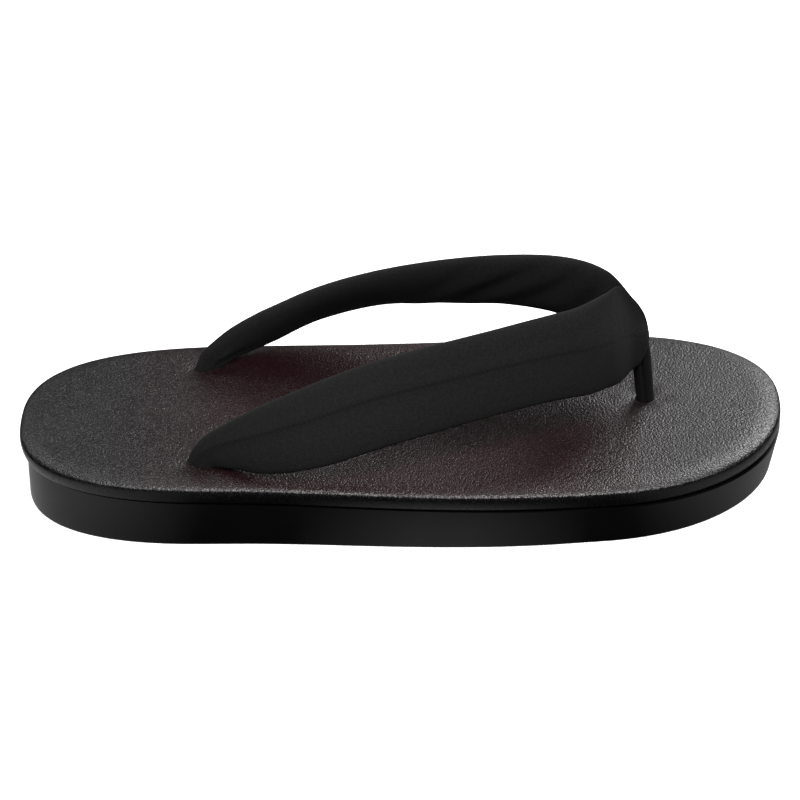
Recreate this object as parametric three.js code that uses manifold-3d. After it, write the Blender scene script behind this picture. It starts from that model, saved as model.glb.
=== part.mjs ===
// A flat-soled Japanese thong sandal for the right foot: a foam rubber outsole, a padded footbed with a
// rolled edge, a pair of padded cloth straps joined at the toe, and a cloth-covered post between the toes.
// Millimetres, +X towards the toe, +Y towards the inner side of the foot, +Z up. The origin is on the
// floor, under the middle of the overall length and width.

import * as THREE from 'three';
import Module from 'manifold-3d';
import { mergeVertices } from 'three/addons/utils/BufferGeometryUtils.js';

const wasm = await Module();
wasm.setup();

// Overall sizes
const LENGTH = 265;
const HEIGHT_AT_HEEL = 26.4;
const HEIGHT_AT_TOE = 22.1;
const FOOTBED_THICKNESS = 8;
const GAP = 0.3;
const MERGE_DISTANCE = 1e-4;

// Plan outline of the footbed. The heel is even, and the outer side of the ball is fuller than the inner.
const HEEL_HALF_WIDTH = 46;
const OUTER_BALL_WIDTH = 52.4;
const INNER_BALL_WIDTH = 48.2;
const OUTER_SIDE_BULGE = 1.3;
const INNER_SIDE_BULGE = -1.9;
const TOE_CENTRE_SHIFT = 3.6;
const TOE_SHIFT_START = 0.4;
const SIDE_SHIFT = 3.12;
const BALL_START = 60;
const BALL_END = 185;
const HEEL_ROUND = { length: 77.4, power: 2.6 };
const OUTER_TOE_ROUND = { length: 65.6, power: 2.16 };
const INNER_TOE_ROUND = { length: 72.3, power: 2.16 };
const OUTLINE_STEPS = 44;

// Edge of the footbed from its underside up: how far in from the outline, and how far below the top.
const FOOTBED_EDGE = [
  { inset: 3.2, depth: 8 },
  { inset: 1.7, depth: 7.2 },
  { inset: 0.7, depth: 5.4 },
  { inset: 0, depth: 3.2 },
  { inset: 0.3, depth: 1.9 },
  { inset: 1.3, depth: 0.75 },
  { inset: 2.8, depth: 0.18 },
  { inset: 5, depth: 0 },
];

// Outsole wall: how far it stands in from the footbed's outline at its top and its foot.
const SOLE_TOP_INSET = { heel: 2.4, toe: 0.8 };
const SOLE_FOOT_INSET = { heel: 1.7, toe: 3.6 };
const SOLE_FOOT_BEVEL = 0.8;

// The straps mirror each other about a line that runs from midway between their holes to the toe post.
const STRAP_LINE = { offset: -0.2, slope: 0.0185 };

// One strap from the end in its hole to the toe. along: from the middle of the sandal; spread: out from
// the strap line; rise: above the footbed; width and thickness of the padded band; tilt: how steeply the
// band stands, with its upper edge leaning in over the foot. The sections stand square to the strap at
// first, and turn upright and crosswise where the straps close together at the toe.
const STRAP_STATIONS = [
  { along: -70.6, spread: 29.8, rise: -7.2, width: 7, thickness: 4.4, tilt: 80 },
  { along: -70, spread: 30.1, rise: -3.8, width: 7.8, thickness: 4.6, tilt: 78 },
  { along: -67.8, spread: 30.7, rise: 0.8, width: 9.6, thickness: 5.2, tilt: 74 },
  { along: -63.8, spread: 31.4, rise: 4.5, width: 12.2, thickness: 6.2, tilt: 70 },
  { along: -57, spread: 33.7, rise: 8, width: 16.4, thickness: 7.2, tilt: 64 },
  { along: -45, spread: 37, rise: 12.3, width: 23.6, thickness: 8, tilt: 54 },
  { along: -29, spread: 39.5, rise: 18.4, width: 28, thickness: 8, tilt: 46 },
  { along: -9, spread: 38, rise: 24.8, width: 29, thickness: 8, tilt: 47 },
  { along: 12, spread: 34.5, rise: 28.8, width: 28.6, thickness: 8, tilt: 56 },
  { along: 33, spread: 30.2, rise: 31.8, width: 28.3, thickness: 8, tilt: 63 },
  { along: 52, spread: 24.8, rise: 33.2, width: 29.4, thickness: 8.3, tilt: 68 },
  { along: 64, spread: 19.4, rise: 32.2, width: 31, thickness: 9, tilt: 73 },
  { along: 72, spread: 13.3, rise: 30.7, width: 31, thickness: 10.2, tilt: 78 },
  { along: 75.5, spread: 9.4, rise: 29.6, width: 30.8, thickness: 10.6, tilt: 78 },
  { along: 78.2, spread: 5.8, rise: 28.5, width: 28.6, thickness: 10, tilt: 79 },
  { along: 80.7, spread: 2.7, rise: 27.3, width: 25.6, thickness: 9, tilt: 83 },
  { along: 83.4, spread: 1.7, rise: 26.2, width: 20.8, thickness: 7.2, tilt: 86 },
  { along: 86.9, spread: 0.8, rise: 25.6, width: 9.6, thickness: 4.6, tilt: 88 },
];
const STRAP_STEPS = 60;
const STRAP_LOOK_AHEAD = 0.004;
const STRAP_CLOSING = { start: 0.45, length: 0.28 };
const STRAP_SECTION_POINTS = 26;
const STRAP_SECTION_POWER = 2.3;
const SEAM_DEPTH = 0.8;
const SEAM_HALF_WIDTH = 2.2;

// Oval holes in the footbed for the strap ends.
const STRAP_HOLE = { along: -68.2, spread: 30.5, halfLength: 6.2, halfWidth: 4.3, turn: 0.14 };
const STRAP_HOLE_CURVE_STEPS = 24;

// Toe post: a folded cloth loop, so its section has a front and a rear lobe.
const POST_STATIONS = [
  { along: 85.8, rise: -7.9, length: 5.8, breadth: 6 },
  { along: 85.6, rise: 0, length: 6.3, breadth: 6.2 },
  { along: 84.7, rise: 11, length: 6.6, breadth: 6.4 },
  { along: 84.1, rise: 19, length: 6.5, breadth: 6.6 },
  { along: 83.8, rise: 26, length: 5.8, breadth: 6.4 },
];
const POST_SIDE = 1.4;
const POST_STEPS = 16;
const POST_SECTION_POINTS = 24;
const POST_WAIST = { depth: 0.16, spread: 0.3 };
const POST_TOP_ROOM = 0.45;

// Colours
const FOAM_BLACK = 0x0d0e10;
const LEATHERETTE_BLACK = 0x2a2827;
const CLOTH_BLACK = 0x151617;

const FOAM = new THREE.MeshStandardMaterial({ color: FOAM_BLACK, roughness: 0.45, metalness: 0 });
const LEATHERETTE = new THREE.MeshStandardMaterial({
  color: LEATHERETTE_BLACK,
  roughness: 0.4,
  metalness: 0,
});
const CLOTH = new THREE.MeshStandardMaterial({ color: CLOTH_BLACK, roughness: 0.9, metalness: 0 });

const clamp01 = (value) => Math.min(1, Math.max(0, value));
const ease = (value) => clamp01(value) ** 2 * (3 - 2 * clamp01(value));

// Minus one at the first of a run of steps, one at the last, and nothing between.
const endSign = (step, last) => (step === 0 ? -1 : 0) + (step === last ? 1 : 0);

// Share of the full width that is left where an end rounds off, at a distance from that end.
const roundOff = (distance, { length, power }) =>
  distance >= length ? 1 : Math.max(0, 1 - ((length - distance) / length) ** power) ** (1 / power);

// Sideways place of the footbed's outline at a distance from the heel; side is 1 inside and -1 outside.
function outlineSide(distance, side) {
  const share = distance / LENGTH;
  const shift = TOE_CENTRE_SHIFT * ease((share - TOE_SHIFT_START) / (1 - TOE_SHIFT_START));
  const ball = side > 0 ? INNER_BALL_WIDTH - TOE_CENTRE_SHIFT : OUTER_BALL_WIDTH + TOE_CENTRE_SHIFT;
  const bulge = side > 0 ? INNER_SIDE_BULGE : OUTER_SIDE_BULGE;
  const toeRound = side > 0 ? INNER_TOE_ROUND : OUTER_TOE_ROUND;
  const growth = (ball - HEEL_HALF_WIDTH) * ease((distance - BALL_START) / (BALL_END - BALL_START));
  const full = HEEL_HALF_WIDTH + growth + bulge * Math.sin(Math.PI * share);
  return shift + side * full * roundOff(distance, HEEL_ROUND) * roundOff(LENGTH - distance, toeRound);
}

// The outline as a ring of points, anticlockwise from the heel along the outer side.
function outlineRing() {
  const ring = [];
  for (let i = 0; i < 2 * OUTLINE_STEPS; i += 1) {
    const turn = (Math.PI * i) / OUTLINE_STEPS;
    const distance = (LENGTH / 2) * (1 - Math.cos(turn));
    const side = outlineSide(distance, turn < Math.PI ? -1 : 1);
    ring.push(new THREE.Vector2(distance - LENGTH / 2, side + SIDE_SHIFT));
  }
  return ring;
}

const OUTLINE = outlineRing();

// The outline drawn in by a distance that may change along the sandal.
function insetRing(insetAt) {
  return OUTLINE.map((point, i) => {
    const before = OUTLINE[(i + OUTLINE.length - 1) % OUTLINE.length];
    const after = OUTLINE[(i + 1) % OUTLINE.length];
    const inward = new THREE.Vector2(before.y - after.y, after.x - before.x).normalize();
    return point.clone().addScaledVector(inward, insetAt(point.x));
  });
}

const alongShare = (x) => x / LENGTH + 0.5;
const footbedTop = (x) => THREE.MathUtils.lerp(HEIGHT_AT_HEEL, HEIGHT_AT_TOE, alongShare(x));
const soleTop = (x) => footbedTop(x) - FOOTBED_THICKNESS - GAP;
const between = ({ heel, toe }) => (x) => THREE.MathUtils.lerp(heel, toe, alongShare(x));

// A closed body through rings of equal count, with flat ends.
function loft(rings) {
  const count = rings[0].length;
  const positions = rings.flat().flatMap((point) => [point.x, point.y, point.z]);
  const faces = [];
  for (let r = 0; r + 1 < rings.length; r += 1) {
    for (let i = 0; i < count; i += 1) {
      const a = r * count + i;
      const b = r * count + ((i + 1) % count);
      faces.push(a, b, b + count, a, b + count, a + count);
    }
  }
  const last = (rings.length - 1) * count;
  for (let i = 1; i + 1 < count; i += 1) {
    faces.push(0, i + 1, i, last, last + i, last + i + 1);
  }
  const geometry = new THREE.BufferGeometry();
  geometry.setAttribute('position', new THREE.Float32BufferAttribute(positions, 3));
  geometry.setIndex(faces);
  return geometry;
}

function solidOf(geometry) {
  const bare = geometry.clone();
  bare.deleteAttribute('normal');
  bare.deleteAttribute('uv');
  const merged = mergeVertices(bare, MERGE_DISTANCE);
  return new wasm.Manifold(
    new wasm.Mesh({
      numProp: 3,
      vertProperties: merged.attributes.position.array,
      triVerts: new Uint32Array(merged.index.array),
    }),
  );
}

function meshOf(name, solid, material) {
  const { vertProperties, triVerts } = solid.getMesh();
  const geometry = new THREE.BufferGeometry();
  geometry.setAttribute('position', new THREE.BufferAttribute(vertProperties, 3));
  geometry.setIndex(new THREE.BufferAttribute(triVerts, 1));
  geometry.computeVertexNormals();
  const mesh = new THREE.Mesh(geometry, material);
  mesh.name = name;
  return mesh;
}

// A smooth line through table rows; each column is read at any share of the way along.
function reader(rows, columns) {
  const curve = new THREE.CatmullRomCurve3(
    rows.map((row) => new THREE.Vector3(...columns.map((column) => row[column]))),
    false,
    'catmullrom',
  );
  return (share) => curve.getPoint(share);
}

const strapLine = (x) => STRAP_LINE.offset + STRAP_LINE.slope * x + SIDE_SHIFT;

// One padded strap. swell makes it larger all round, for the room that its neighbours leave it.
function strapSolid(side, swell) {
  const place = reader(STRAP_STATIONS, ['along', 'spread', 'rise']);
  const form = reader(STRAP_STATIONS, ['width', 'thickness', 'tilt']);
  const centreAt = (share) => {
    const { x, y, z } = place(clamp01(share));
    return new THREE.Vector3(x, strapLine(x) + side * y, footbedTop(x) + z);
  };
  const rings = [];
  for (let step = 0; step <= STRAP_STEPS; step += 1) {
    const share = step / STRAP_STEPS;
    const centre = centreAt(share);
    const travel = centreAt(share + STRAP_LOOK_AHEAD).sub(centreAt(share - STRAP_LOOK_AHEAD)).normalize();
    centre.addScaledVector(travel, swell * endSign(step, STRAP_STEPS));
    const closing = ease((share - STRAP_CLOSING.start) / STRAP_CLOSING.length);
    const inward = new THREE.Vector3(side * travel.y, -side * travel.x, 0).normalize();
    inward.lerp(new THREE.Vector3(0, -side, 0), closing).normalize();
    const upward = new THREE.Vector3().crossVectors(inward, travel).multiplyScalar(side).normalize();
    upward.lerp(new THREE.Vector3(0, 0, 1), closing).normalize();
    const { x: width, y: thickness, z: tilt } = form(share);
    const lean = THREE.MathUtils.degToRad(tilt);
    const across = inward.clone().multiplyScalar(Math.cos(lean)).addScaledVector(upward, Math.sin(lean));
    const outward = inward.clone().multiplyScalar(-Math.sin(lean)).addScaledVector(upward, Math.cos(lean));
    const ring = strapSection(width / 2 + swell, thickness / 2 + swell, swell).map(({ x, y }) =>
      centre.clone().addScaledVector(across, x).addScaledVector(outward, y),
    );
    rings.push(side > 0 ? ring.reverse() : ring);
  }
  return solidOf(loft(rings));
}

// Section of the padded band: rounded edges, and a stitched seam sunk along the middle of its outer face.
function strapSection(halfWidth, halfThickness, swell) {
  const bend = 2 / STRAP_SECTION_POWER;
  const points = [];
  for (let i = 0; i < STRAP_SECTION_POINTS; i += 1) {
    const turn = (2 * Math.PI * (i + 0.5)) / STRAP_SECTION_POINTS;
    const x = halfWidth * Math.sign(Math.cos(turn)) * Math.abs(Math.cos(turn)) ** bend;
    const y = halfThickness * Math.sign(Math.sin(turn)) * Math.abs(Math.sin(turn)) ** bend;
    const seam = y > 0 && swell === 0 ? SEAM_DEPTH * Math.exp(-((x / SEAM_HALF_WIDTH) ** 2)) : 0;
    points.push(new THREE.Vector2(x, y - seam));
  }
  return points;
}

// The toe post's lobed section, swollen for the hole around it.
function postSolid(swell) {
  const place = reader(POST_STATIONS, ['along', 'rise', 'length']);
  const form = reader(POST_STATIONS, ['breadth', 'rise', 'length']);
  const rings = [];
  for (let step = 0; step <= POST_STEPS; step += 1) {
    const share = step / POST_STEPS;
    const { x: along, y: rise, z: length } = place(share);
    const breadth = form(share).x;
    const centreY = POST_SIDE + SIDE_SHIFT;
    const ring = [];
    for (let i = 0; i < POST_SECTION_POINTS; i += 1) {
      const turn = (2 * Math.PI * i) / POST_SECTION_POINTS;
      const waist = 1 - POST_WAIST.depth * Math.exp(-((Math.cos(turn) / POST_WAIST.spread) ** 2));
      ring.push(
        new THREE.Vector3(
          along + (length / 2 + swell) * Math.cos(turn),
          centreY + (breadth / 2 + swell) * waist * Math.sin(turn),
          footbedTop(along) + rise + swell * endSign(step, POST_STEPS),
        ),
      );
    }
    rings.push(ring);
  }
  return solidOf(loft(rings));
}

// An upright oval through the footbed where a strap end goes down, made smaller by a clearance.
function strapHole(side, clearance) {
  const { along, spread, halfLength, halfWidth, turn } = STRAP_HOLE;
  const oval = new THREE.Shape();
  oval.absellipse(0, 0, halfLength - clearance, halfWidth - clearance, 0, 2 * Math.PI, false, side * turn);
  const geometry = new THREE.ExtrudeGeometry(oval, {
    depth: HEIGHT_AT_HEEL * 2,
    bevelEnabled: false,
    curveSegments: STRAP_HOLE_CURVE_STEPS,
  });
  geometry.translate(along, strapLine(along) + side * spread, 0);
  return solidOf(geometry);
}

// The padded footbed before its holes are cut, raised by a clearance above its real place.
function footbedBlank(raise) {
  const rings = FOOTBED_EDGE.map(({ inset, depth }) =>
    insetRing(() => inset).map(({ x, y }) => new THREE.Vector3(x, y, footbedTop(x) - depth + raise)),
  );
  return solidOf(loft(rings));
}

function outsole() {
  const ringAt = (insetAt, heightAt) =>
    insetRing(insetAt).map(({ x, y }) => new THREE.Vector3(x, y, heightAt(x)));
  const foot = between(SOLE_FOOT_INSET);
  const solid = solidOf(
    loft([
      ringAt((x) => foot(x) + SOLE_FOOT_BEVEL, () => 0),
      ringAt(foot, () => SOLE_FOOT_BEVEL),
      ringAt(between(SOLE_TOP_INSET), soleTop),
    ]),
  );
  return meshOf('outsole', solid, FOAM);
}

function footbed() {
  const solid = footbedBlank(0)
    .subtract(strapHole(1, 0))
    .subtract(strapHole(-1, 0))
    .subtract(postSolid(GAP));
  return meshOf('footbed', solid, LEATHERETTE);
}

// Both straps joined at the toe, cut clear of the footbed except where they go down through its holes.
function straps() {
  const keepOff = footbedBlank(GAP).subtract(strapHole(1, GAP)).subtract(strapHole(-1, GAP));
  const solid = strapSolid(1, 0).add(strapSolid(-1, 0)).subtract(keepOff);
  return meshOf('straps', solid, CLOTH);
}

// The post, cut off under the joined straps.
function toePost() {
  const room = strapSolid(1, POST_TOP_ROOM).add(strapSolid(-1, POST_TOP_ROOM));
  const [solid] = postSolid(0)
    .subtract(room)
    .decompose()
    .sort((a, b) => b.volume() - a.volume());
  return meshOf('toe_post', solid, CLOTH);
}

const sandal = new THREE.Group();
sandal.add(outsole(), footbed(), straps(), toePost());

export default sandal;
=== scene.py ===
"""Dresses a flat-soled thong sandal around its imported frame: foam sole, padded footbed, cloth straps and toe
loop, and a pale stage. X runs from heel to toe, Y to the inner side of the foot, Z up. The tables at the top
are in millimetres, apart from those that say metres, and the meshes are in metres."""

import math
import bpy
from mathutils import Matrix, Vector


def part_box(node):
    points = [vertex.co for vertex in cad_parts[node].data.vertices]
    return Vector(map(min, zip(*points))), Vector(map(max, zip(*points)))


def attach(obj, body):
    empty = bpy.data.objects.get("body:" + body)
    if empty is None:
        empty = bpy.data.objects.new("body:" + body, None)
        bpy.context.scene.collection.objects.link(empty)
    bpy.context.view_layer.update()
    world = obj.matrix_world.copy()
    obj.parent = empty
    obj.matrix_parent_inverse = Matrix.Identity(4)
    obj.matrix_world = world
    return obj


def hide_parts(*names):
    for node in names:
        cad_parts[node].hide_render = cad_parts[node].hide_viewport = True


bl_info = {
    "name": "Thong Sandal",
    "version": (1, 0, 0),
    "blender": (4, 5, 0),
    "location": "View3D > Sidebar > Sandal",
    "description": "Models a flat-soled thong sandal with padded cloth straps",
    "category": "Mesh",
}

import bmesh
import bpy
from mathutils import Matrix, Vector, noise

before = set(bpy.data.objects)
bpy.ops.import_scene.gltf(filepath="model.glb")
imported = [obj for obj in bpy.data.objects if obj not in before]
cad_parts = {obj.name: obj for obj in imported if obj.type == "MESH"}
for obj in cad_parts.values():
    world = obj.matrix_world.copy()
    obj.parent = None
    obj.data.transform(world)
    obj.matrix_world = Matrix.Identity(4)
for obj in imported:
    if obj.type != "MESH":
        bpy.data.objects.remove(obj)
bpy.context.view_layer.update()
FOOTBED_LOW, FOOTBED_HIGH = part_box("footbed")

MM = 0.001

# Shape of the footbed seen from above, in millimetres. The toe's shift starts at a share of the length.
LENGTH = (FOOTBED_HIGH.x - FOOTBED_LOW.x) / MM
HEEL_HALF_WIDTH = 46
OUTER_BALL_WIDTH = 52.4
INNER_BALL_WIDTH = 48.2
OUTER_SIDE_BULGE = 1.3
INNER_SIDE_BULGE = -1.9
TOE_CENTRE_SHIFT = 3.6
TOE_SHIFT_START = 0.4
SIDE_SHIFT = 3.12
BALL_START = 60
BALL_END = 185

# Rounded ends of the outline: length in millimetres, and the power of the curve
HEEL_ROUND = (77.4, 2.6)
OUTER_TOE_ROUND = (65.6, 2.16)
INNER_TOE_ROUND = (72.3, 2.28)

# Foam sole, in millimetres. The rings of its wall lie at shares of the way up.
SOLE_OUTLINE_STEPS = 104
SOLE_BEVEL_STEPS = 4
SOLE_UNDERSIDE_RIM = 7.2
SOLE_WALL_SHARES = (0.25, 0.5, 0.75, 0.93)
SOLE_TOP_RIM = 2
SOLE_GAP = 0.3

# Edge of the footbed from its underside up, in millimetres: how far in, and how far below the top
FOOTBED_EDGE = [
    (9, 8), (2, 8), (0.9, 7.7), (0.2, 6.9), (-0.2, 5.6), (-0.45, 4.2), (-0.45, 2.9), (-0.15, 1.9),
    (0.6, 1.3), (1.7, 0.86), (3.3, 0.46), (5.3, 0.17), (7.6, 0.03), (10.5, 0),
]
FOOTBED_OUTLINE_STEPS = 60

# The footbed's top closes on a line along its middle, through rings at shares of the way in
SPINE_SHARE = 0.6
TOP_SHARES = (0.1, 0.22, 0.35, 0.49, 0.64, 0.8, 1.0)
WELD_DISTANCE = 0.01

# Faces that are divided again near a hole: how far out, in spreads of its dent, and how level they are
REFINED_REACH = 3
REFINED_LEVEL = 0.9

# Dents round the footbed's holes: place along, place out from the strap line, spread, and share of the depth
STRAP_DENT = {"along": -68.2, "out": 30.5, "spread": 7, "share": 1.0}
LOOP_DENT = {"along": 85.5, "spread": 5.5, "share": 0.8}

# Holes in the footbed. A strap's has the shape of its end, over its first rings, with a little room.
LOOP_HOLE_HALF_LENGTH = 3.3
LOOP_HOLE_HALF_WIDTH = 3.2
LOOP_HOLE_CORNERS = 64
HOLE_ROOM = 0.25
STRAP_HOLE_STEPS = 30
CUTTER_HEIGHT = 30

# Puckers in the cover round each hole, as shares of the dent's depth and spread
PUCKER = {"count": 5, "phase": 0.6, "depth": 0.25, "reach": 1.3, "width": 0.6}
PADDED_DEPTH = 5

# Unevenness of the cover: depth in millimetres, and waves per metre
UNEVENNESS = [(0.12, 38), (0.05, 110)]

# The line that the two straps mirror each other about
STRAP_LINE_OFFSET = -0.2
STRAP_LINE_SLOPE = 0.0185

# One strap from its hole to the toe, in millimetres and degrees: along the sandal, out from the strap line,
# above the footbed, width, thickness, and how steeply it stands
STRAP_STATIONS = [
    (-70.6, 29.8, -7.2, 7, 4.4, 80),
    (-70, 30.1, -3.8, 7.8, 4.6, 78),
    (-67.8, 30.7, 0.8, 9.6, 5.2, 74),
    (-63.8, 31.4, 4.5, 12.2, 6.2, 70),
    (-57, 33.7, 8, 16.4, 7.2, 64),
    (-45, 37, 12.3, 23.6, 8, 54),
    (-29, 39.5, 18.4, 28, 8, 46),
    (-9, 38, 24.8, 29, 8, 47),
    (12, 34.5, 28.8, 28.6, 8, 56),
    (33, 30.2, 31.8, 28.3, 8, 63),
    (52, 24.8, 33.2, 29.4, 8.3, 68),
    (64, 19.4, 32.2, 31, 9, 73),
    (72, 13.3, 30.7, 31, 10.2, 78),
    (75.5, 9.4, 29.6, 30.8, 10.6, 78),
    (78.2, 5.8, 28.5, 28.6, 10, 79),
    (80.7, 2.7, 27.3, 25.6, 9, 83),
    (83.4, 1.7, 26.2, 20.8, 7.2, 86),
    (86.9, 0.8, 25.6, 9.6, 4.6, 88),
]

# Steps along a strap, points round its section, the power of the section's rounded shape, and how far to
# either side, as a share of the length, its direction is read
STRAP_STEPS = 116
STRAP_SECTION_POINTS = 44
STRAP_SECTION_POWER = 2.3
LOOK_AHEAD = 0.004

# Places along a strap, as shares of its length: where its sections start to turn upright, over what stretch,
# and where its tip starts to round off
CLOSING_START = 0.45
CLOSING_LENGTH = 0.28
TIP_START = 0.965
TIP_LEAST = 0.02

# Where the straps' upper edges draw together, over what stretch, between which heights on the face, how far,
# and how much they rise for it
JOIN_START = 0.61
JOIN_LENGTH = 0.23
JOIN_LOW = -0.1
JOIN_HIGH = 0.8
JOIN_SHARE = 0.85
JOIN_RISE = 0.55

# Where the straps press against each other, in millimetres
PRESS_ROOM = 0.15
PRESS_SOFTNESS = 1.1

# Heights on a strap's face run from -1 at the lower edge to 1 at the upper one, and places along it are
# shares of its length. The seam is a narrow trough with the cloth raised just above it. It starts a little
# way from the hole, and is shallower at first.
SEAM_HEIGHT = 0.1
SEAM_WIDTH = 0.055
SEAM_END_SHARE = 0.4
SEAM_FULL_START = 0.3
SEAM_FULL_LENGTH = 0.3
SEAM_STRAP_START = 0.16
SEAM_ROLL = {"above": 0.13, "width": 0.11, "rise": 0.5}

# Slack of the outer face and the bunched padding of the inner face: place along, its spread, height, its
# spread, and depth in millimetres. On either face a positive depth moves the cloth towards the inner side.
SLACK = [
    (0.36, 0.12, SEAM_HEIGHT - 0.2, 0.12, 0.22),
    (0.55, 0.10, SEAM_HEIGHT + 0.3, 0.10, 0.25),
]
BUNCHING = [
    (0.19, 0.03, 0.25, 0.2, 0.55),
    (0.20, 0.06, -0.30, 0.2, -0.80),
]

# Folds on the inner face of each strap: place along, slant with height, width along, depth in millimetres,
# and the height where each is deepest. A negative depth is a trough, and a positive one is a ridge.
INNER_STRAP_FOLDS = [
    (0.470, 0.050, 0.0085, -0.9, 0.5),
    (0.500, 0.060, 0.0100, 0.7, 0.3),
    (0.528, 0.065, 0.0095, -1.1, 0.2),
    (0.560, 0.065, 0.0110, 0.7, 0.1),
    (0.592, 0.060, 0.0100, -1.0, 0.1),
    (0.628, 0.050, 0.0120, 0.6, 0.0),
    (0.662, 0.040, 0.0110, -0.9, -0.1),
    (0.705, 0.030, 0.0120, 0.4, 0.0),
    (0.745, 0.020, 0.0120, -0.7, 0.0),
]
OUTER_STRAP_FOLDS = [
    (0.520, 0.060, 0.0110, -0.7, 0.2),
    (0.590, 0.055, 0.0120, -0.7, 0.1),
    (0.665, 0.040, 0.0120, -0.7, 0.0),
    (0.740, 0.020, 0.0120, -0.6, 0.0),
]
FOLD_HEIGHT_SPREAD = 0.85

# The toe loop from its foot up: along, above the footbed, length and breadth of its section
LOOP_STATIONS = [
    (85.8, -7.6, 5.8, 6),
    (85.6, 0, 6.3, 6.2),
    (84.7, 11, 6.6, 6.4),
    (84.1, 19, 6.5, 6.6),
    (83.8, 24, 5.6, 6.2),
]
LOOP_SIDE = 1.4
LOOP_STEPS = 56
LOOP_SECTION_POINTS = 40

# The waist between the loop's front and rear lobes, and the creases near its foot
LOOP_WAIST = {"depth": 0.42, "back": 0.06, "width": 0.17}
LOOP_CREASES = {"depth": 0.025, "rate": 26, "slant": 2, "place": 0.25, "spread": 0.2}

# Angles in degrees past which an edge of a piece is shaded sharp
SOLE_SHARP_ANGLE = 40
FOOTBED_SHARP_ANGLE = 50
LOOP_SHARP_ANGLE = 60

# Colours that aren't in the settings
FOAM_DUST = (0.08, 0.076, 0.07, 1)
# Neutral tone of the cover towards the heel and the toe
COVER_END_TONE = (0.0052, 0.0050, 0.0052, 1)
COVER_RUBBED = (0.011, 0.009, 0.009, 1)
# Rubbed grain tops at the heel and the toe, lighter from wear and as painted sheen
COVER_END_RUBBED_SHEEN = (0.045, 0.044, 0.043, 1)
COVER_SCUFFED = (0.16, 0.155, 0.15, 1)
# Painted shade: the footbed's steep side is darkened nearly to black
COVER_SIDE_SHADE = (0.0010, 0.0010, 0.0014, 1)
FLOOR_UNSEEN = (0.015, 0.015, 0.016, 1)
FLOOR_GLOW = (0.55, 0.55, 0.55, 1)
# Painted shade: the share of the straps' cloth brightness that the darker loop keeps
LOOP_PAINTED_SHADE = 0.35

# Roughness of each material over its drift, and from the cloth's hollows to its raised threads. Rubbed grain
# and dust add to it.
FOAM_ROUGHNESS = (0.33, 0.40)
COVER_ROUGHNESS = (0.27, 0.34)
CLOTH_ROUGHNESS = (0.98, 0.86)
RUBBED_ROUGHNESS = 0.28
DUST_ROUGHNESS = 0.3

# Values between which a noise is spread out to a full range
NOISE_SPAN = (0.3, 0.7)

# Upward parts of the surface's normal where the sole's underside and the footbed's side start and are full.
# The footbed's side is painted dark as shade.
UNDERSIDE_NORMAL = (-0.95, -0.99)
COVER_SIDE_SHADE_NORMAL = (0.72, 0.42)

# How strongly the cover shows its rubbed tops, which at the heel and the toe are also painted sheen, and its
# scuffs, and how far its grain flattens at the edge
RUBBED_SHARE = 0.5
SCUFFED_SHARE = 0.15
EDGE_GRAIN_LOSS = 0.6
GRAIN_MIDDLE = 1.4

# Brightness of the cloth between its slubs and fuzz, and what the painted shade along the seam takes off
SLUB_SHADE = (0.75, 1.2)
FUZZ_SHADE = (0.65, 1.35)
SEAM_PAINTED_SHADE = (-0.1, -0.4)

# Finishes, in millimetres unless a name says per metre
PORE_DEPTH = 0.04
PORES_PER_METRE = 2600.0
DUST_HEIGHT = 5
RIB_RADIANS_PER_METRE = 1250.0
RIB_SWAY_PER_METRE = 260.0
# Distances from the middle where the cover's end tone and painted sheen start and are full
ENDS_START = 55
ENDS_FULL = 105
GRAIN_DEPTH = 0.16
GRAIN_CELLS_PER_METRE = 1350.0
WEAVE_DEPTH = 0.06
SEAM_LINE_PLACE = 1.4
SEAM_LINE_REACH = (0.2, 0.9)
STITCH_PITCH = 1.7

# Softboxes: name, place, target and size in metres, power in watts
SOFTBOXES = [
    ("overhead", (0.05, 0.25, 1.3), (0.05, 0.25, 0), (1.5, 1.2), 4.0),
    ("front_key", (0.05, -0.8, 1.25), (0, 0, 0.03), (1.0, 0.5), 24.0),
    ("back_right", (0.98, 1.5, 1.05), (0.05, 0, 0), (1.15, 0.9), 18.0),
    ("back_left", (-0.9, 1.5, 1.0), (-0.05, 0, 0), (1.1, 0.9), 1.0),
    ("toe_rim", (0.85, 0.85, 1.1), (0.1, 0, 0), (0.5, 0.5), 11.0),
    ("heel_rim", (-0.85, 0.7, 1.1), (-0.1, 0, 0), (0.4, 0.4), 3.5),
    ("toe_side", (0.9, -0.7, 1.0), (0.1, 0, 0.02), (0.4, 0.4), 6.0),
    ("heel_side", (-0.8, -0.9, 1.0), (-0.1, 0, 0.02), (0.4, 0.4), 4.0),
]

# Lit patches of the floor, in metres: where each one starts and where it is full along the sandal, and its
# brightness. The middle one runs to both sides of its centre, and ends just in front of the sandal. The end
# ones fade out away from the sandal's middle.
HEEL_PATCH = {"start": -0.072, "full": -0.135, "light": 0.62}
MIDDLE_PATCH = {"centre": 0.012, "start": 0.052, "full": 0.01, "light": 0.36}
TOE_PATCH = {"start": 0.080, "full": 0.125, "light": 0.34}
MIDDLE_PATCH_FRONT = (-0.078, -0.062)
END_PATCH_REACH = (0.16, 0.19)

# Floor and camera: the target and the sensor in millimetres, the rest in metres
FLOOR_SIZE = 8
CAMERA_TARGET_HEIGHT = 26.48
CAMERA_SENSOR_WIDTH = 36
CAMERA_CLIP_END = 30


# Settings a user would change


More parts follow.
